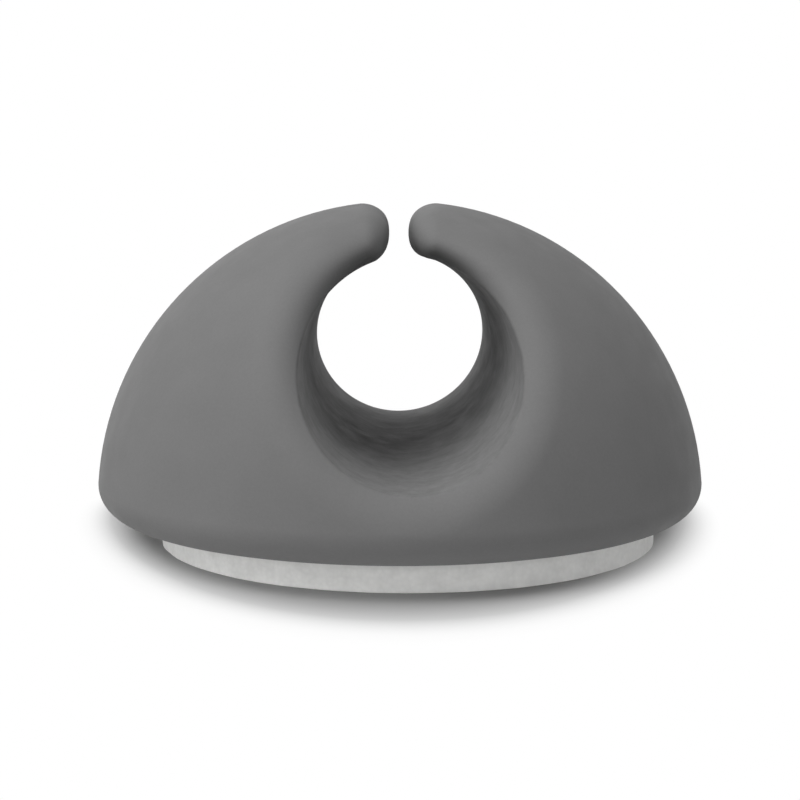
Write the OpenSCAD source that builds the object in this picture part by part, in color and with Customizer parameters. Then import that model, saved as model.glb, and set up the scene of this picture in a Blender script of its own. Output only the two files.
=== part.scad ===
// Dome cable clip: a soft moulded dome with a round cable channel and a narrow
// slot on top, standing on a round foam adhesive pad. Sizes are in millimetres.
// Z is up, the cable runs along Y, and the origin is the centre of the pad's underside.

/* [Dome] */
// Width of the dome across its widest line
dome_w = 28.1; // [26.6:0.5:34.1]
// Height of the dome above the top of the pad
dome_h = 14.25; // [14:0.05:15]
// Radius of the nearly flat spot on the crown
crown_r = 0.2; // [0:0.05:1]
// Rounding of the foot, where the dome turns under
foot_r = 1.55; // [0.85:0.1:2.05]

/* [Cable channel] */
// Diameter of the channel the cable lies in
bore_d = 8.95; // [6.45:0.1:9.25]
// Height of the channel's axis above the top of the pad
bore_z = 7.3; // [6.7:0.1:7.6]
// How far the channel sits to the right of the dome's centre
bore_x = 0.2; // [-0.4:0.05:0.4]
// Width of the slot between the flat parts of the two lips
slot_w = 0.85; // [0.3:0.05:1.9]
// How far the slot sits to the right of the dome's centre
slot_x = -0.05; // [-0.3:0.05:0.3]

/* [Rounding] */
// Rounding between the dome and the channel, all round the mouth
mouth_r = 2.2; // [1.2:0.1:2.3]
// How far the channel cuts into that rounding at its floor, which leaves a crease
mouth_cut = 0.7; // [0:0.05:1]
// Rounding of the lips' ends beside the slot, at their top
lip_top_r = 1.45; // [0.6:0.05:1.8]
// Rounding of the lips' ends beside the slot, where they meet the channel
lip_under_r = 0.9; // [0.4:0.05:1.2]

/* [Adhesive pad] */
// Diameter of the foam pad
pad_d = 23; // [18:0.1:24]
// Thickness of the foam pad
pad_t = 1.3; // [0.8:0.1:2.4]
// How far the pad is stuck to the right of the dome's centre
pad_x = 0.35; // [-0.5:0.05:0.5]
// How far the pad is stuck behind the dome's centre
pad_y = -0.4; // [-0.5:0.1:0.5]

/* [Mesh] */
// Columns along each quarter of the channel's mouth, without those round a lip's end
mouth_steps = 22; // [10:1:30]
// Rows across the dome between the mouth and the foot
dome_steps = 9; // [5:1:14]

/* [Hidden] */
// Columns round the lower corner of a lip's end, and along its top edge
nose_steps = 6;
crest_steps = 7;
// Rows round the mouth's edge, round the foot, and along the channel
edge_steps = 12;
foot_steps = 5;
wall_steps = 4;
// The channel is bored this much wider than the moulded wall round it
skin = 0.02;
wall_r = bore_d / 2 - skin;
arc_r = dome_w / 2 - crown_r;
arc_z = dome_h - arc_r;
// Guide points lie this share of the mouth's rounding under the wall, and this far beside the slot
guide_share = 0.55;
guide_side = 1.25;
guide_r = wall_r + guide_share * mouth_r;
guide_x = slot_w / 2 + guide_side;
// Longest way from a guide point to the skin
reach = 3.2;
halvings = 19;
// Power that brings the cut to nothing towards the lips
cut_power = 2;
// Facets round the channel and round the pad
bore_facets = 96;
pad_facets = 128;
// Share of the foot's quarter taken by the mouth and by the lip's corner
mouth_share = 0.66;
corner_share = 0.74;
cols = mouth_steps + nose_steps + crest_steps;
rows = edge_steps + dome_steps + foot_steps;
foot_lat = asin((foot_r - arc_z) / arc_r);
body_colour = [0.40, 0.40, 0.40];
pad_colour = [0.83, 0.83, 0.81];

// How far a point is outside the plain dome, negative inside
function dome_gap(p) =
  let (rho = norm([p.x, p.y]))
  p.z > arc_z ? norm([rho - crown_r, p.z - arc_z]) - arc_r : rho - crown_r - arc_r;

// The same for the dome with its rounded foot
function foot_gap(p) = blend(dome_gap(p), -p.z, foot_r);

// The larger of two gaps, with the corner between them rounded by r
function blend(a, b, r) = min(max(a, b), -r) + norm([max(a + r, 0), max(b + r, 0)]);

// How far the rounding is drawn into the channel at a height from -1 at its floor to 1 at its top
function cut_at(up) = mouth_cut * (1 - pow((1 + up) / 2, cut_power));

// Rounding of the lips' ends at height z
function lip_r(z) =
  let (up = (z - bore_z - wall_r) / (dome_h - bore_z - wall_r))
  lip_under_r + (lip_top_r - lip_under_r) * max(0, min(1, up));

// How far a point is outside the rounded body
function body_gap(p) =
  let (
    h = norm([p.x - bore_x, p.z - bore_z]),
    bore = wall_r - cut_at((p.z - bore_z) / h) - h,
    mouth = blend(foot_gap(p), bore, mouth_r)
  )
  p.z > bore_z ? blend(mouth, slot_w / 2 - abs(p.x - slot_x), lip_r(p.z)) : mouth;

// Point where a ray from inside leaves the skin
function leave(o, d, lo, hi, n) =
  let (m = (lo + hi) / 2)
  n == 0 ? o + m * d : body_gap(o + m * d) < 0 ? leave(o, d, m, hi, n - 1) : leave(o, d, lo, m, n - 1);

// A ray on side s that stops at the middle of the slot
function skin_at(o, d, s) =
  let (
    inward = -s * d.x,
    room = inward > 0.05 ? abs(o.x - slot_x) / inward : reach,
    p = leave(o, d, 0, min(reach, room), halvings)
  )
  abs(p.z) < 0.002 ? [p.x, p.y, 0] : p;

function unit(v) = v / norm(v);

// Even turn from one direction to another
function turn(a, b, t) =
  let (w = acos(max(-1, min(1, a * b))))
  w < 0.01 ? a : (sin((1 - t) * w) * a + sin(t * w) * b) / sin(w);

// Outward direction of the dome at a guide point
function dome_dir(p) =
  let (rho = norm([p.x, p.y]))
  unit([p.x * (rho - crown_r) / rho, p.y * (rho - crown_r) / rho, p.z - arc_z]);

// Point on the plain dome that faces a direction
function dome_at(d) =
  let (h = norm([d.x, d.y]))
  arc_r * d + crown_r * [d.x / h, d.y / h, 0] + [0, 0, arc_z];

// Half length of the straight channel wall at angle f
function wall_half(f) =
  let (
    x = wall_r * cos(f),
    z = bore_z + wall_r * sin(f),
    r = arc_r - mouth_r
  )
  sqrt(pow(crown_r + sqrt(r * r - pow(max(z - arc_z, 0), 2)), 2) - x * x);

// Angle on the channel where the lip's end begins, on side s
function nose_angle(s) = acos((s * (slot_x - bore_x) + guide_x) / guide_r);

// Guide point and direction to the inner wall for column j of the front, on side s
function mouth_guide(j, s) =
  let (
    f = -90 + (nose_angle(s) + 90) * min(j / mouth_steps, 1),
    e = [s * cos(f), 0, sin(f)]
  )
  [[bore_x, -wall_half(f), bore_z] + guide_r * e, -e];

function guide(j, s) =
  let (
    m = mouth_guide(j, s),
    side = [-s, 0, 0],
    depth = -dome_gap(m[0]),
    y = m[0].y * cos(90 * (j - mouth_steps - nose_steps) / crest_steps),
    rho = norm([m[0].x, y]),
    z = arc_z + sqrt(pow(arc_r - depth, 2) - pow(rho - crown_r, 2))
  )
  j <= mouth_steps ? m
  : j <= mouth_steps + nose_steps ? [m[0], turn(m[1], side, (j - mouth_steps) / nose_steps)]
  : [[m[0].x, j == cols ? 0 : y, z], side];

// Angle round the foot that column j runs down to, from 0 at the front to 90 at the side
function foot_angle(j) =
  j <= mouth_steps ? 90 * mouth_share * j / mouth_steps
  : j <= mouth_steps + nose_steps
  ? 90 * (mouth_share + (corner_share - mouth_share) * (j - mouth_steps) / nose_steps)
  : 90 * (corner_share + (1 - corner_share) * (j - mouth_steps - nose_steps) / crest_steps);

// One column of the skin: round the mouth's edge, down the dome, round the foot
function column(j, s) =
  let (
    g = guide(j, s),
    o = g[0],
    out = dome_dir(o),
    q = foot_angle(j),
    flat = [s * sin(q), -cos(q), 0],
    foot = cos(foot_lat) * flat + [0, 0, sin(foot_lat)],
    hub = [0, 0, foot_r] + (crown_r + arc_r * cos(foot_lat) - foot_r) * flat,
    depth = -dome_gap(o)
  )
  [
    for (k = [0:edge_steps]) skin_at(o, turn(g[1], out, k / edge_steps), s),
    for (k = [1:dome_steps])
      let (
        t = k / dome_steps,
        d = turn(out, foot, t),
        deep = depth + (foot_r - depth) * t
      )
      skin_at(dome_at(d) - deep * d, d, s),
    for (k = [1:foot_steps])
      skin_at(hub, turn(foot, [0, 0, -1], k / foot_steps), s)
  ];

// Points between the front and back ends of column j on the inner wall
function wall_line(j, s) =
  let (g = guide(j, s))
  [for (m = [1:wall_steps - 1]) skin_at([g[0].x, g[0].y * (1 - 2 * m / wall_steps), g[0].z], g[1], s)];

function to_back(c) = [for (p = c) [p.x, -p.y, p.z]];

// Closed skin of the rounded body, without the final bore
module moulded() {
  right = [for (j = [0:cols]) column(j, 1)];
  left = [for (j = [0:cols]) column(j, -1)];
  ring = [
    for (j = [0:cols]) right[j],
    for (j = [cols - 1:-1:0]) to_back(right[j]),
    for (j = [1:cols - 1]) to_back(left[j]),
    for (j = [cols:-1:1]) left[j]
  ];
  n = len(ring);
  span = rows + 1;
  inner = wall_steps - 1;
  wall_pts = [for (s = [1, -1]) for (j = [0:cols - 1]) each wall_line(j, s)];
  points = concat([for (c = ring) each c], wall_pts);
  // Place in the list of point m on inner line j of side s
  first = n * span;
  ends = function (j, m, s)
    s > 0 ? (m == 0 ? j : 2 * cols - j) : (m == 0 ? (n - j) % n : 2 * cols + j);
  at = function (j, m, s)
    j == cols ? (s > 0 ? cols : 3 * cols) * span
    : m == 0 || m == wall_steps ? ends(j, m, s) * span
    : first + ((s > 0 || j == 0 ? 0 : cols) + j) * inner + m - 1;
  skin_faces = [
    for (i = [0:n - 1], k = [0:rows - 1])
      let (
        a = i * span + k,
        b = ((i + 1) % n) * span + k
      )
      each [[a, b, b + 1], [a, b + 1, a + 1]]
  ];
  wall_faces = [
    for (s = [1, -1], j = [0:cols - 1], m = [0:wall_steps - 1])
      let (
        a = at(j, m, s),
        b = at(j, m + 1, s),
        c = at(j + 1, m + 1, s),
        d = at(j + 1, m, s),
        tip = j == cols - 1
      )
      each s > 0 ? (tip ? [[a, b, c]] : [[a, b, c], [a, c, d]])
      : (tip ? [[a, c, b]] : [[a, d, c], [a, c, b]])
  ];
  base = [for (i = [0:n - 1]) i * span + rows];
  polyhedron(points = points, faces = concat(skin_faces, wall_faces, [base]), convexity = 6);
}

module clip_body() {
  color(body_colour)
    translate([0, 0, pad_t])
      difference() {
        moulded();
        translate([bore_x, 0, bore_z])
          rotate([90, 0, 0])
            cylinder(d = bore_d, h = dome_w + 4, center = true, $fn = bore_facets);
      }
}

module adhesive_pad() {
  color(pad_colour)
    translate([pad_x, pad_y, 0])
      cylinder(d = pad_d, h = pad_t, $fn = pad_facets);
}

clip_body();
adhesive_pad();
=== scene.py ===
import math

import bpy
import numpy as np
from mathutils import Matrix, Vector


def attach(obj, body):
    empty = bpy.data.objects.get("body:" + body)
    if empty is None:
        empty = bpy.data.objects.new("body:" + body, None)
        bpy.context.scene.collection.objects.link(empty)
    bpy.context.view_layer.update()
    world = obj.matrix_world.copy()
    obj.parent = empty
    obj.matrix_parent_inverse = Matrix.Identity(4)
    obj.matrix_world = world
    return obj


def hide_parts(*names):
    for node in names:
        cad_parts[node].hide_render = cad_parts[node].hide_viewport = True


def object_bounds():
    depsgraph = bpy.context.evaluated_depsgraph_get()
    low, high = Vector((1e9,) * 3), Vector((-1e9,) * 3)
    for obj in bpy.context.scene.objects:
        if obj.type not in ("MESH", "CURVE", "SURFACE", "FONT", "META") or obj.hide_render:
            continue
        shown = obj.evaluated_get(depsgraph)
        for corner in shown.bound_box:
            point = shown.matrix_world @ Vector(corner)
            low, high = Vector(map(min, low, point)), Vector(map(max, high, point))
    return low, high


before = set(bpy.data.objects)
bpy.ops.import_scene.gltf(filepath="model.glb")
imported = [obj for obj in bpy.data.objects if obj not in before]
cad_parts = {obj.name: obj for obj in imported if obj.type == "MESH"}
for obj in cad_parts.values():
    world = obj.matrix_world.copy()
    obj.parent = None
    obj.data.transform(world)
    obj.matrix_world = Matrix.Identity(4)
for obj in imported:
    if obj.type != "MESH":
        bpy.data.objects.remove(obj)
CAD_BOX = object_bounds()

# Sizes of the clip in millimetres, the same values and formulas as in the part's source
MM = 0.001
DOME_W = 28.1
DOME_H = 14.25
CROWN_R = 0.2
FOOT_R = 1.55
BORE_D = 8.95
BORE_Z = 7.3
BORE_X = 0.2
SLOT_W = 0.85
SLOT_X = -0.05
MOUTH_R = 2.2
MOUTH_CUT = 0.7
LIP_TOP_R = 1.45
LIP_UNDER_R = 0.9
PAD_D = 23.0
PAD_T = 1.3
PAD_X = 0.35
PAD_Y = -0.4
WALL_R = BORE_D / 2
ARC_R = DOME_W / 2 - CROWN_R
ARC_Z = DOME_H - ARC_R
CUT_POWER = 2

# Guide points lie this share of the mouth's rounding under the wall, and this far beside the slot
GUIDE_SHARE = 0.55
GUIDE_SIDE = 1.25
GUIDE_R = WALL_R + GUIDE_SHARE * MOUTH_R
GUIDE_X = SLOT_W / 2 + GUIDE_SIDE

# Longest way from a guide point to the skin, and how often it is halved to find the skin
REACH = 3.2
HALVINGS = 30
# A ray that leans less than this towards the slot's middle isn't stopped there
LEAN = 0.05
# A point this near to the flat underside is laid on it
FLAT = 0.002
# Directions that differ by less than this angle count as one
SAME = 1e-3
TINY = 1e-6

# The crease that the channel cuts into the mouth's rounding is broken by this small radius,
# which shrinks where the cut is less deep than CREASE_FADE
CREASE_R = 0.09
CREASE_FADE = 0.3
# The edge's rows between these two shares of them all lie within CREASE_BAND of the crease.
# The band and the crease's least place, CREASE_MIN, are shares of the turn round the edge.
CREASE_ROWS = (0.15, 0.5)
CREASE_BAND = 0.06
CREASE_MIN = 0.1
CREASE_HALVINGS = 14

# Share of the foot's quarter taken by the mouth, and by the lip's corner with it
MOUTH_SHARE = 0.66
CORNER_SHARE = 0.74

# Columns and rows of the fine skin
MOUTH_STEPS = 70
NOSE_STEPS = 16
CREST_STEPS = 22
EDGE_STEPS = 42
DOME_STEPS = 34
FOOT_STEPS = 14
WALL_STEPS = 30
COLS = MOUTH_STEPS + NOSE_STEPS + CREST_STEPS
ROWS = EDGE_STEPS + DOME_STEPS + FOOT_STEPS


def dome_gap(p):
    """How far points are outside the plain dome, negative inside."""
    rho = np.hypot(p[..., 0], p[..., 1]) - CROWN_R
    up = np.maximum(p[..., 2] - ARC_Z, 0)
    return np.where(p[..., 2] > ARC_Z, np.hypot(rho, up), rho) - ARC_R


def blend(a, b, r):
    """The larger of two gaps, with the corner between them rounded by r."""
    corner = np.hypot(np.maximum(a + r, 0), np.maximum(b + r, 0))
    return np.minimum(np.maximum(a, b), -r) + corner


def foot_gap(p):
    """The same for the dome with its rounded foot."""
    return blend(dome_gap(p), -p[..., 2], FOOT_R)


def cut_at(up):
    """How far the rounding is drawn into the channel: up is -1 at its floor and 1 at its top."""
    return MOUTH_CUT * (1 - ((1 + up) / 2) ** CUT_POWER)


def axis_polar(p):
    """Distance from the channel's axis, and the share of it that points up."""
    x, z = p[..., 0] - BORE_X, p[..., 2] - BORE_Z
    h = np.maximum(np.hypot(x, z), TINY)
    return h, z / h


def lip_r(z):
    """Rounding of the lips' ends at these heights."""
    up = (z - BORE_Z - WALL_R) / (DOME_H - BORE_Z - WALL_R)
    return LIP_UNDER_R + (LIP_TOP_R - LIP_UNDER_R) * np.clip(up, 0, 1)


def moulded_gap(p):
    """How far points are outside the rounded body before the channel is bored."""
    h, up = axis_polar(p)
    mouth = blend(foot_gap(p), WALL_R - cut_at(up) - h, MOUTH_R)
    slotted = blend(mouth, SLOT_W / 2 - abs(p[..., 0] - SLOT_X), lip_r(p[..., 2]))
    return np.where(p[..., 2] > BORE_Z, slotted, mouth)


def body_gap(p):
    """How far points are outside the finished body."""
    h, up = axis_polar(p)
    crease = CREASE_R * np.clip(cut_at(up) / CREASE_FADE, TINY, 1)
    return blend(moulded_gap(p), WALL_R - h, crease)


def skin_at(o, d, s):
    """Points where rays from inside leave the skin, or meet the middle of the slot."""
    inward = -s * d[:, 0]
    to_middle = abs(o[:, 0] - SLOT_X) / np.maximum(inward, LEAN)
    room = np.where(inward > LEAN, to_middle, REACH)
    lo = np.zeros(len(o))
    hi = np.minimum(room, REACH)
    for _ in range(HALVINGS):
        m = (lo + hi) / 2
        inside = body_gap(o + m[:, None] * d) < 0
        lo = np.where(inside, m, lo)
        hi = np.where(inside, hi, m)
    p = o + ((lo + hi) / 2)[:, None] * d
    p[abs(p[:, 2]) < FLAT, 2] = 0
    return p


def unit(v):
    """Vectors of length 1 in the same directions."""
    return v / np.linalg.norm(v, axis=-1, keepdims=True)


def turn(a, b, t):
    """Even turn from one direction to another."""
    w = np.arccos(np.clip((a * b).sum(-1), -1, 1))[..., None]
    near = w < SAME
    safe = np.where(near, 1, np.sin(w))
    return np.where(near, a, (np.sin((1 - t) * w) * a + np.sin(t * w) * b) / safe)


def dome_dir(p):
    """Outward direction of the dome at guide points."""
    rho = np.hypot(p[:, 0], p[:, 1])
    k = (rho - CROWN_R) / rho
    return unit(np.stack([p[:, 0] * k, p[:, 1] * k, p[:, 2] - ARC_Z], -1))


def dome_at(d):
    """Points on the plain dome that face these directions."""
    flat = d * [1, 1, 0]
    return ARC_R * d + CROWN_R * unit(flat) + [0, 0, ARC_Z]


def wall_half(f):
    """Half length of the straight channel wall at angle f."""
    x, z = WALL_R * np.cos(f), BORE_Z + WALL_R * np.sin(f)
    r = ARC_R - MOUTH_R
    return np.sqrt((CROWN_R + np.sqrt(r * r - np.maximum(z - ARC_Z, 0) ** 2)) ** 2 - x * x)


def guides(s):
    """Guide points and directions to the inner wall for every column of side s."""
    j = np.arange(COLS + 1.0)
    nose = math.acos((s * (SLOT_X - BORE_X) + GUIDE_X) / GUIDE_R)
    f = -math.pi / 2 + (nose + math.pi / 2) * np.minimum(j / MOUTH_STEPS, 1)
    e = np.stack([s * np.cos(f), 0 * f, np.sin(f)], -1)
    o = np.stack([BORE_X + 0 * f, -wall_half(f), BORE_Z + 0 * f], -1) + GUIDE_R * e
    side = np.array([-s, 0, 0.0])
    round_nose = np.clip((j - MOUTH_STEPS) / NOSE_STEPS, 0, 1)[:, None]
    d = turn(-e, np.broadcast_to(side, e.shape), round_nose)
    depth = -dome_gap(o)
    crest = (j - MOUTH_STEPS - NOSE_STEPS) / CREST_STEPS
    y = o[:, 1] * np.cos(math.pi / 2 * crest)
    y[-1] = 0
    rho = np.hypot(o[:, 0], y)
    z = ARC_Z + np.sqrt((ARC_R - depth) ** 2 - (rho - CROWN_R) ** 2)
    on_crest = crest > 0
    o[on_crest, 1] = y[on_crest]
    o[on_crest, 2] = z[on_crest]
    return o, d


def foot_angles():
    """Angle round the foot that each column runs down to, from the front to the side."""
    j = np.arange(COLS + 1.0)
    ends = [0, MOUTH_STEPS, MOUTH_STEPS + NOSE_STEPS, COLS]
    return math.pi / 2 * np.interp(j, ends, [0, MOUTH_SHARE, CORNER_SHARE, 1])


def edge_turns(o, d, out, s):
    """Shares of the turn round the mouth's edge for each column's rows, close at the crease."""
    lo, hi = np.zeros(len(o)), np.ones(len(o))
    for _ in range(CREASE_HALVINGS):
        t = (lo + hi) / 2
        p = skin_at(o, turn(d, out, t[:, None]), s)
        bored = WALL_R - axis_polar(p)[0] > moulded_gap(p)
        lo, hi = np.where(bored, t, lo), np.where(bored, hi, t)
    crease = np.maximum(lo, CREASE_MIN)
    crease[MOUTH_STEPS:] = crease[MOUTH_STEPS]
    k = np.arange(EDGE_STEPS + 1) / EDGE_STEPS
    knots = [0, *CREASE_ROWS, 1]
    return np.stack([np.interp(k, knots, [0, c - CREASE_BAND, c + CREASE_BAND, 1]) for c in crease])


def columns(s):
    """Skin points of side s by column and row: the mouth's edge, the dome, then the foot."""
    o, d = guides(s)
    out = dome_dir(o)
    q = foot_angles()
    flat = np.stack([s * np.sin(q), -np.cos(q), 0 * q], -1)
    lat = math.asin((FOOT_R - ARC_Z) / ARC_R)
    foot = math.cos(lat) * flat + [0, 0, math.sin(lat)]
    hub = (CROWN_R + ARC_R * math.cos(lat) - FOOT_R) * flat + [0, 0, FOOT_R]
    depth = -dome_gap(o)
    down = np.broadcast_to(np.array([0, 0, -1.0]), foot.shape)
    turns = edge_turns(o, d, out, s)
    rows = [skin_at(o, turn(d, out, turns[:, k, None]), s) for k in range(EDGE_STEPS + 1)]
    for k in range(1, DOME_STEPS + 1):
        t = k / DOME_STEPS
        w = turn(out, foot, t)
        deep = depth + (FOOT_R - depth) * t
        rows.append(skin_at(dome_at(w) - deep[:, None] * w, w, s))
    rows += [skin_at(hub, turn(foot, down, k / FOOT_STEPS), s) for k in range(1, FOOT_STEPS + 1)]
    return np.stack(rows, 1)


def wall_lines(s):
    """Points between the front and back ends of each column on the inner wall."""
    o, d = guides(s)
    rows = []
    for m in range(1, WALL_STEPS):
        rows.append(skin_at(o * [1, 1 - 2 * m / WALL_STEPS, 1], d, s))
    return np.stack(rows, 1)


def skin_normals(p):
    """Outward directions of the skin, from the slope of its gap."""
    step = 1e-4
    slope = [body_gap(p + step * axis) - body_gap(p - step * axis) for axis in np.eye(3)]
    return unit(np.stack(slope, -1))


def new_object(name, points, faces, normals=None):
    """Smooth mesh object from points in millimetres."""
    mesh = bpy.data.meshes.new(name)
    mesh.from_pydata((points * MM).tolist(), [], faces)
    mesh.validate()
    mesh.shade_smooth()
    if normals is not None:
        mesh.normals_split_custom_set_from_vertices(normals.tolist())
    piece = bpy.data.objects.new(name, mesh)
    bpy.context.scene.collection.objects.link(piece)
    return piece


def make_body():
    """Closed fine skin of the dome clip, with the same columns as the part's source."""
    right, left = columns(1), columns(-1)
    back = [1, -1, 1]
    ring = np.concatenate([right, right[-2::-1] * back, left[1:] * back, left[-2:0:-1]])
    ring_n, span, inner = len(ring), ROWS + 1, WALL_STEPS - 1
    walls = [wall_lines(s)[:COLS] for s in (1, -1)]
    points = np.concatenate([ring.reshape(-1, 3)] + [w.reshape(-1, 3) for w in walls])
    first = ring_n * span

    def at(j, m, s):
        """Index of the point m along the wall in column j of side s."""
        if j == COLS:
            return (COLS if s > 0 else 3 * COLS) * span
        if m == 0:
            return (j if s > 0 else (ring_n - j) % ring_n) * span
        if m == WALL_STEPS:
            return (2 * COLS - j if s > 0 else 2 * COLS + j) * span
        return first + ((0 if s > 0 or j == 0 else COLS) + j) * inner + m - 1

    faces = []
    for i in range(ring_n):
        a, b = i * span, (i + 1) % ring_n * span
        faces += [(a + k, a + k + 1, b + k + 1, b + k) for k in range(ROWS)]
    for s in (1, -1):
        for j in range(COLS):
            for m in range(WALL_STEPS):
                quad = [at(j, m, s), at(j, m + 1, s), at(j + 1, m + 1, s), at(j + 1, m, s)]
                if j == COLS - 1:
                    quad.pop()
                faces.append(tuple(quad if s < 0 else quad[::-1]))
    faces.append(tuple(i * span + ROWS for i in reversed(range(ring_n))))
    normals = skin_normals(points)
    normals[points[:, 2] < TINY] = [0, 0, -1]
    points = np.clip(points + [0, 0, PAD_T], *[np.array(corner) / MM for corner in CAD_BOX])
    return new_object("soft_dome", points, faces, normals)


# Points round the pad, the radius of its rims and the rows round a rim and up the wall
PAD_AROUND = 240
PAD_RIM = 0.07
RIM_ROWS = 5
PAD_WALL_ROWS = 9
# Rings on the pad's two faces, as shares of its radius
PAD_R = PAD_D / 2
PAD_RINGS = [0.3, 0.6, 0.85, 0.988]
# Unevenness of the pad's wall: a sum of waves that grows from a share of the radius outwards.
# The inset keeps its bulges near the disc's own radius.
WAVES = 12
WAVE_HEIGHT = 0.004
WAVE_FIRST = 5
WAVE_STEP = 3
WAVE_FROM = 0.97
PAD_INSET = 0.012
PAD_SEED = 11


def make_pad():
    """Die-cut foam disc: crisp rims, and a wall that the blade left very slightly uneven."""
    a = np.arange(PAD_AROUND) * 2 * math.pi / PAD_AROUND
    face = [(share * PAD_R, 0) for share in PAD_RINGS]
    rim = [(PAD_R - PAD_RIM * (1 - math.sin(t)), PAD_RIM * (1 - math.cos(t)))
           for t in np.linspace(0, math.pi / 2, RIM_ROWS)]
    wall = [(PAD_R, z) for z in np.linspace(PAD_RIM, PAD_T - PAD_RIM, PAD_WALL_ROWS)[1:-1]]
    top = [(r, PAD_T - z) for r, z in reversed(face + rim)]
    rows = face + rim + wall + top

    # Only every second draw is used
    phases = np.random.default_rng(PAD_SEED).uniform(0, 2 * math.pi, (WAVES, 2))[:, 0]
    wave = np.zeros(PAD_AROUND)
    for i, phase in enumerate(phases):
        wave += WAVE_HEIGHT * np.sin((i * WAVE_STEP + WAVE_FIRST) * a + phase)

    rings = []
    for r, z in rows:
        weight = np.clip((r / PAD_R - WAVE_FROM) / (1 - WAVE_FROM), 0, 1)
        uneven = r - PAD_INSET + wave * weight
        x, y = PAD_X + uneven * np.cos(a), PAD_Y + uneven * np.sin(a)
        rings.append(np.stack([x, y, z + 0 * a], -1))

    def at(k, i):
        """Index of the point i round ring k."""
        return k * PAD_AROUND + i % PAD_AROUND

    last = len(rows) - 1
    faces = [(at(k, i), at(k, i + 1), at(k + 1, i + 1), at(k + 1, i))
             for k in range(last) for i in range(PAD_AROUND)]
    faces.append(tuple(at(0, i) for i in reversed(range(PAD_AROUND))))
    faces.append(tuple(at(last, i) for i in range(PAD_AROUND)))
    return new_object("foam_pad", np.concatenate(rings), faces)


def node(tree, kind, **sockets):
    """New shader node with its plain input values set by name."""
    n = tree.nodes.new("ShaderNode" + kind)
    for key, value in sockets.items():
        n.inputs[key.replace("_", " ")].default_value = value
    return n


def new_material(name):
    """New material with its node tree and its Principled shader."""
    m = bpy.data.materials.new(name)
    m.use_nodes = True
    return m, m.node_tree, m.node_tree.nodes["Principled BSDF"]


def noise(tree, coords, scale, detail, rough):
    """Noise at a scale in waves to the metre."""
    n = node(tree, "TexNoise", Scale=scale, Detail=detail, Roughness=rough)
    tree.links.new(coords, n.inputs["Vector"])
    return n.outputs["Fac"]


def spread(tree, value, low, high, to_low, to_high):
    """Maps a value from one range to another."""
    n = node(tree, "MapRange")
    for key, v in (("From Min", low), ("From Max", high), ("To Min", to_low), ("To Max", to_high)):
        n.inputs[key].default_value = v
    tree.links.new(value, n.inputs["Value"])
    return n.outputs["Result"]


# A noise keeps mostly between these values
NOISE_LOW = 0.3
NOISE_HIGH = 0.7


def vary(tree, value, low, high):
    """Spreads a noise over a range."""
    return spread(tree, value, NOISE_LOW, NOISE_HIGH, low, high)


def math_node(tree, operation, a, b):
    """Maths on two values, each a plain number or a socket."""
    n = tree.nodes.new("ShaderNodeMath")
    n.operation = operation
    for i, v in enumerate((a, b)):
        if isinstance(v, (int, float)):
            n.inputs[i].default_value = v
        else:
            tree.links.new(v, n.inputs[i])
    return n.outputs[0]


def vector_node(tree, operation, a, b=None):
    """Vector maths on a socket and, where it takes two, a plain vector."""
    n = tree.nodes.new("ShaderNodeVectorMath")
    n.operation = operation
    tree.links.new(a, n.inputs[0])
    if b is not None:
        n.inputs[1].default_value = b
    return n.outputs["Value" if operation == "LENGTH" else "Vector"]


def shade_of(tree, colour, factor):
    """A colour times a varying factor."""
    n = tree.nodes.new("ShaderNodeVectorMath")
    n.operation = "SCALE"
    n.inputs[0].default_value = colour
    tree.links.new(factor, n.inputs["Scale"])
    return n.outputs[0]


def bump(tree, height, strength, distance, after=None):
    """Bump that may follow another one."""
    n = node(tree, "Bump", Strength=strength, Distance=distance)
    tree.links.new(height, n.inputs["Height"])
    if after is not None:
        tree.links.new(after, n.inputs["Normal"])
    return n.outputs["Normal"]


BODY_COLOUR = (0.181, 0.181, 0.181)
BODY_SPECULAR = 0.1
PAD_COLOUR = (0.93, 0.93, 0.915)
PAD_SPECULAR = 0.3
PAD_ROUGHNESS = 0.85

# The channel's mottle is full up to WALL_IN outside the wall, and gone at WALL_OUT, in millimetres
WALL_IN = 0.02
WALL_OUT = 0.1


def on_wall(tree, at):
    """1 on the straight wall of the channel and 0 on the rest of the body."""
    from_axis = vector_node(tree, "SUBTRACT", at, (BORE_X * MM, 0, (BORE_Z + PAD_T) * MM))
    across = vector_node(tree, "MULTIPLY", from_axis, (1, 0, 1))
    radius = vector_node(tree, "LENGTH", across)
    return spread(tree, radius, (WALL_R + WALL_IN) * MM, (WALL_R + WALL_OUT) * MM, 1, 0)


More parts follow.
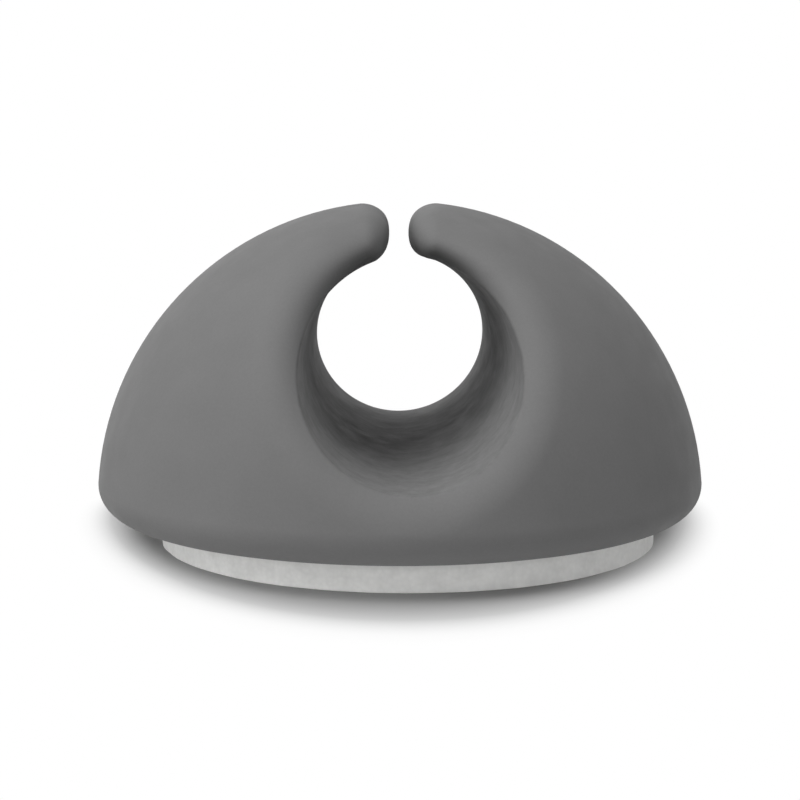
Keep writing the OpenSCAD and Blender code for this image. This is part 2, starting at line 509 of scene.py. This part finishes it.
def soft_grey():
    """Matt moulded elastomer: fine eroded-mould grain, faint cloudy tone, slightly uneven sheen.
    The channel's wall, which a core pin leaves rougher, is faintly mottled."""
    m, tree, shader = new_material("soft_grey")
    at = tree.nodes.new("ShaderNodeTexCoord").outputs["Object"]
    cloud = noise(tree, at, scale=260, detail=3, rough=0.55)
    grain = noise(tree, at, scale=9000, detail=2, rough=0.6)
    swell = noise(tree, at, scale=900, detail=2, rough=0.5)
    spots = noise(tree, at, scale=1700, detail=5, rough=0.65)
    tone = math_node(tree, "ADD", vary(tree, cloud, low=-0.03, high=0.03),
                     vary(tree, grain, low=0.975, high=1.025))
    mottle = math_node(tree, "MULTIPLY", vary(tree, spots, low=-0.13, high=0.11), on_wall(tree, at))
    tone = math_node(tree, "ADD", tone, mottle)
    tree.links.new(shade_of(tree, BODY_COLOUR, tone), shader.inputs["Base Color"])
    tree.links.new(vary(tree, swell, low=0.6, high=0.72), shader.inputs["Roughness"])
    shader.inputs["Specular IOR Level"].default_value = BODY_SPECULAR
    normal = bump(tree, swell, strength=0.25, distance=0.00004)
    normal = bump(tree, grain, strength=0.35, distance=0.00001, after=normal)
    tree.links.new(normal, shader.inputs["Normal"])
    return m


def foam():
    """Fine closed-cell foam: small cells, faint blotches where the skin is thicker."""
    m, tree, shader = new_material("foam_pad")
    at = tree.nodes.new("ShaderNodeTexCoord").outputs["Object"]
    cells = node(tree, "TexVoronoi", Scale=5200.0)
    tree.links.new(at, cells.inputs["Vector"])
    cell = cells.outputs["Distance"]
    blotch = noise(tree, at, scale=1100, detail=3, rough=0.6)
    tone = math_node(tree, "ADD", vary(tree, blotch, low=-0.06, high=0.05),
                     spread(tree, cell, low=0, high=0.8, to_low=1.02, to_high=0.96))
    tree.links.new(shade_of(tree, PAD_COLOUR, tone), shader.inputs["Base Color"])
    shader.inputs["Roughness"].default_value = PAD_ROUGHNESS
    shader.inputs["Specular IOR Level"].default_value = PAD_SPECULAR
    normal = bump(tree, cell, strength=0.4, distance=0.00003)
    normal = bump(tree, blotch, strength=0.3, distance=0.00003, after=normal)
    tree.links.new(normal, shader.inputs["Normal"])
    return m


body = make_body()
body.data.materials.append(soft_grey())
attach(body, "root")
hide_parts("clip_body")

pad = make_pad()
pad.data.materials.append(foam())
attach(pad, "root")
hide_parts("adhesive_pad")

WHITE = (1, 1, 1, 1)

# The floor's colour is darker under the clip and close round it: a painted shadow that deepens the
# lamps' own shadow there.
# The outline of this shade is two arcs, one in front of the line y = SHADE_Y and a steeper one
# behind it. SHADE_ROUND rounds the two corners where they meet. Sizes are in metres in the
# floor's own coordinates, and shade_length is 1 on the outline.
SHADE_Y = 0.007
SHADE_HALF_WIDTH = 0.01704
SHADE_REACH = 0.03838
SHADE_SHIFT = 0.016
SHADE_ROUND = 0.005
BACK_STEEPNESS = 2.0
# Lengths between which the floor's colour changes from the painted shadow's tone, and its tone
# inside and outside them
SHADE_LENGTHS = (1.021, 1.075)
SHADE_TONES = (0.353, 0.882)
# Lengths between which the seen floor turns to plain white
WHITE_LENGTHS = (0.949, 1.111)
# For the light that the floor sends back: radii between which its colour changes, and its tone
# under the clip and away from it
BOUNCE_RADII = (0.0148, 0.02)
BOUNCE_TONES = (0.97, 0.15)
FLOOR_SIDE = 4.0


def seen(tree):
    """1 for rays from the camera, also by way of gloss or glass, and 0 for the rest."""
    rays = tree.nodes.new("ShaderNodeLightPath").outputs
    direct = math_node(tree, "MAXIMUM", rays["Is Camera Ray"], rays["Is Glossy Ray"])
    return math_node(tree, "MAXIMUM", direct, rays["Is Transmission Ray"])


def mixed(tree, share, first, second):
    """Mix of two shader nodes."""
    mix = tree.nodes.new("ShaderNodeMixShader")
    for i, socket in enumerate((share, first.outputs[0], second.outputs[0])):
        tree.links.new(socket, mix.inputs[i])
    return mix


def shade_length(tree, at):
    """Length that is 1 on the outline of the floor's shade, less inside and more outside."""
    axes = tree.nodes.new("ShaderNodeSeparateXYZ")
    tree.links.new(at, axes.inputs[0])
    front = math_node(tree, "SUBTRACT", SHADE_Y, axes.outputs["Y"])
    back = math_node(tree, "MULTIPLY", front, -BACK_STEEPNESS)
    away = math_node(tree, "MAXIMUM", front, back)
    square = math_node(tree, "ADD", math_node(tree, "MULTIPLY", away, away), SHADE_ROUND ** 2)
    along = math_node(tree, "ADD", math_node(tree, "SQRT", square, 0), SHADE_SHIFT)
    scaled = tree.nodes.new("ShaderNodeCombineXYZ")
    across = math_node(tree, "DIVIDE", axes.outputs["X"], SHADE_HALF_WIDTH)
    tree.links.new(across, scaled.inputs["X"])
    tree.links.new(math_node(tree, "DIVIDE", along, SHADE_REACH), scaled.inputs["Y"])
    return vector_node(tree, "LENGTH", scaled.outputs[0])


def floor_material():
    """Pale diffuse floor that keeps the clip's shadow, darkened under and close round the clip by a
    painted shadow in its colour, and looks plain white away from it.
    """
    m = bpy.data.materials.new("floor")
    m.use_nodes = True
    tree = m.node_tree
    tree.nodes.clear()
    at = tree.nodes.new("ShaderNodeTexCoord").outputs["Object"]
    length = shade_length(tree, at)
    radius = vector_node(tree, "LENGTH", at)
    direct = seen(tree)

    bounce = node(tree, "BsdfDiffuse")
    tree.links.new(spread(tree, radius, *BOUNCE_RADII, *BOUNCE_TONES), bounce.inputs["Color"])
    # Painted shadow: the colour of this floor, which the camera sees, is darker under and round the
    # clip
    shaded = node(tree, "BsdfDiffuse")
    tree.links.new(spread(tree, length, *SHADE_LENGTHS, *SHADE_TONES), shaded.inputs["Color"])
    glow = node(tree, "Emission", Color=WHITE, Strength=1.0)

    far = node(tree, "MapRange")
    far.interpolation_type = "SMOOTHSTEP"
    far.inputs["From Min"].default_value = WHITE_LENGTHS[0]
    far.inputs["From Max"].default_value = WHITE_LENGTHS[1]
    tree.links.new(length, far.inputs["Value"])
    whitened = math_node(tree, "MULTIPLY", far.outputs["Result"], direct)

    lit = mixed(tree, direct, bounce, shaded)
    out = tree.nodes.new("ShaderNodeOutputMaterial")
    tree.links.new(mixed(tree, whitened, lit, glow).outputs[0], out.inputs["Surface"])
    return m


def make_floor():
    """Large square floor round the clip."""
    half = FLOOR_SIDE / 2
    corners = [(-half, -half, 0), (half, -half, 0), (half, half, 0), (-half, half, 0)]
    mesh = bpy.data.meshes.new("floor")
    mesh.from_pydata(corners, [], [(0, 1, 2, 3)])
    floor = bpy.data.objects.new("floor", mesh)
    bpy.context.scene.collection.objects.link(floor)
    mesh.materials.append(floor_material())


make_floor()

# Camera fitted to the photograph, and the point it looks at
AIM = Vector((0, 0, 0.006266))
CAMERA_AZIMUTH = -1.251
CAMERA_ELEVATION = 6.679
CAMERA_DISTANCE = 0.065625
SENSOR = 36.0
LENS = 62.55
CLIP_START = 0.005
CLIP_END = 20


def from_aim(azimuth, elevation, distance):
    """Point at a distance from the aim, azimuth 0 in front of the clip and 90 at its right."""
    a, e = math.radians(azimuth), math.radians(elevation)
    flat = math.cos(e)
    return AIM + distance * Vector((math.sin(a) * flat, -math.cos(a) * flat, math.sin(e)))


def add_looking(name, data, place):
    """Camera or lamp at a place, turned towards the aim."""
    thing = bpy.data.objects.new(name, data)
    thing.location = place
    thing.rotation_euler = (AIM - place).to_track_quat("-Z", "Y").to_euler()
    bpy.context.scene.collection.objects.link(thing)
    return thing


camera_data = bpy.data.cameras.new("camera")
camera_data.sensor_width = SENSOR
camera_data.lens = LENS
camera_data.clip_start = CLIP_START
camera_data.clip_end = CLIP_END
camera_place = from_aim(CAMERA_AZIMUTH, CAMERA_ELEVATION, CAMERA_DISTANCE)
bpy.context.scene.camera = add_looking("camera", camera_data, camera_place)

# Soft square lamps, all at one distance from the aim and of one size. A lamp's level is about
# the brightness that it gives a white surface which faces it at the aim.
LAMP_DISTANCE = 0.3
LAMP_SIDE = 0.2


def lamp(name, azimuth, elevation, level):
    """One soft lamp, turned towards the aim."""
    data = bpy.data.lights.new(name, "AREA")
    data.shape = "SQUARE"
    data.size = LAMP_SIDE
    data.energy = level * math.pi ** 2 * LAMP_DISTANCE ** 2
    add_looking(name, data, from_aim(azimuth, elevation, LAMP_DISTANCE))


lamp("key", azimuth=-45, elevation=52, level=0.66)
lamp("low", azimuth=-45, elevation=4, level=0.3)
lamp("side", azimuth=-75, elevation=30, level=0.28)
lamp("front", azimuth=55, elevation=4, level=0.22)
lamp("fill", azimuth=75, elevation=52, level=0.17)
lamp("rim", azimuth=85, elevation=4, level=0.11)

# The world gives this level of light, and looks white itself
WORLD_LEVEL = 0.1
world = bpy.data.worlds.new("studio")
bpy.context.scene.world = world
world.use_nodes = True
tree = world.node_tree
tree.nodes.clear()
sky = node(tree, "Background", Color=WHITE, Strength=WORLD_LEVEL)
white = node(tree, "Background", Color=WHITE, Strength=1.0)
out = tree.nodes.new("ShaderNodeOutputWorld")
tree.links.new(mixed(tree, seen(tree), sky, white).outputs[0], out.inputs["Surface"])

bpy.context.scene.view_settings.view_transform = "Standard"
